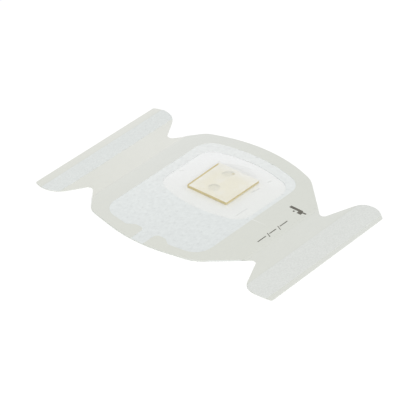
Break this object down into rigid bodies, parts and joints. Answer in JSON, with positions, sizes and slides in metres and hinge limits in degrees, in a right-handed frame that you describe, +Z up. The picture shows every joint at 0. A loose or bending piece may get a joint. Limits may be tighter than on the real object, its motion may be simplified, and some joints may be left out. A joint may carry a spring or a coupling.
{
  "type": "transparent film dressing",
  "caption": "Flat wound dressing as supplied: clear film with a gel pad and a soft cloth border, held by a winged paper frame with tape strips on release paper.",
  "frame": {"origin": "on the underside of the release paper, under the middle of the outline", "axes": "+X along the frame towards the wing with the wider tape strip, +Y across it away from the gap in the frame, +Z up through the layers"},
  "size_m": [0.1192, 0.08, 0.0017],
  "materials": {
    "release_paper": "smooth coated paper",
    "frame_paper": "matt translucent paper",
    "cloth": "soft embossed nonwoven",
    "tape": "mottled nonwoven tape",
    "gel": "soft translucent gel",
    "film": "thin clear film, slightly wrinkled",
    "print": "black print"
  },
  "bodies": {
    "root": {"release_liner": "release_paper", "gel_pad": "gel", "transparent_film": "film", "soft_cloth_border": "cloth", "paper_frame": "frame_paper", "left_tape_strip": "tape", "right_tape_strip": "tape"}
  },
  "joints": []
}
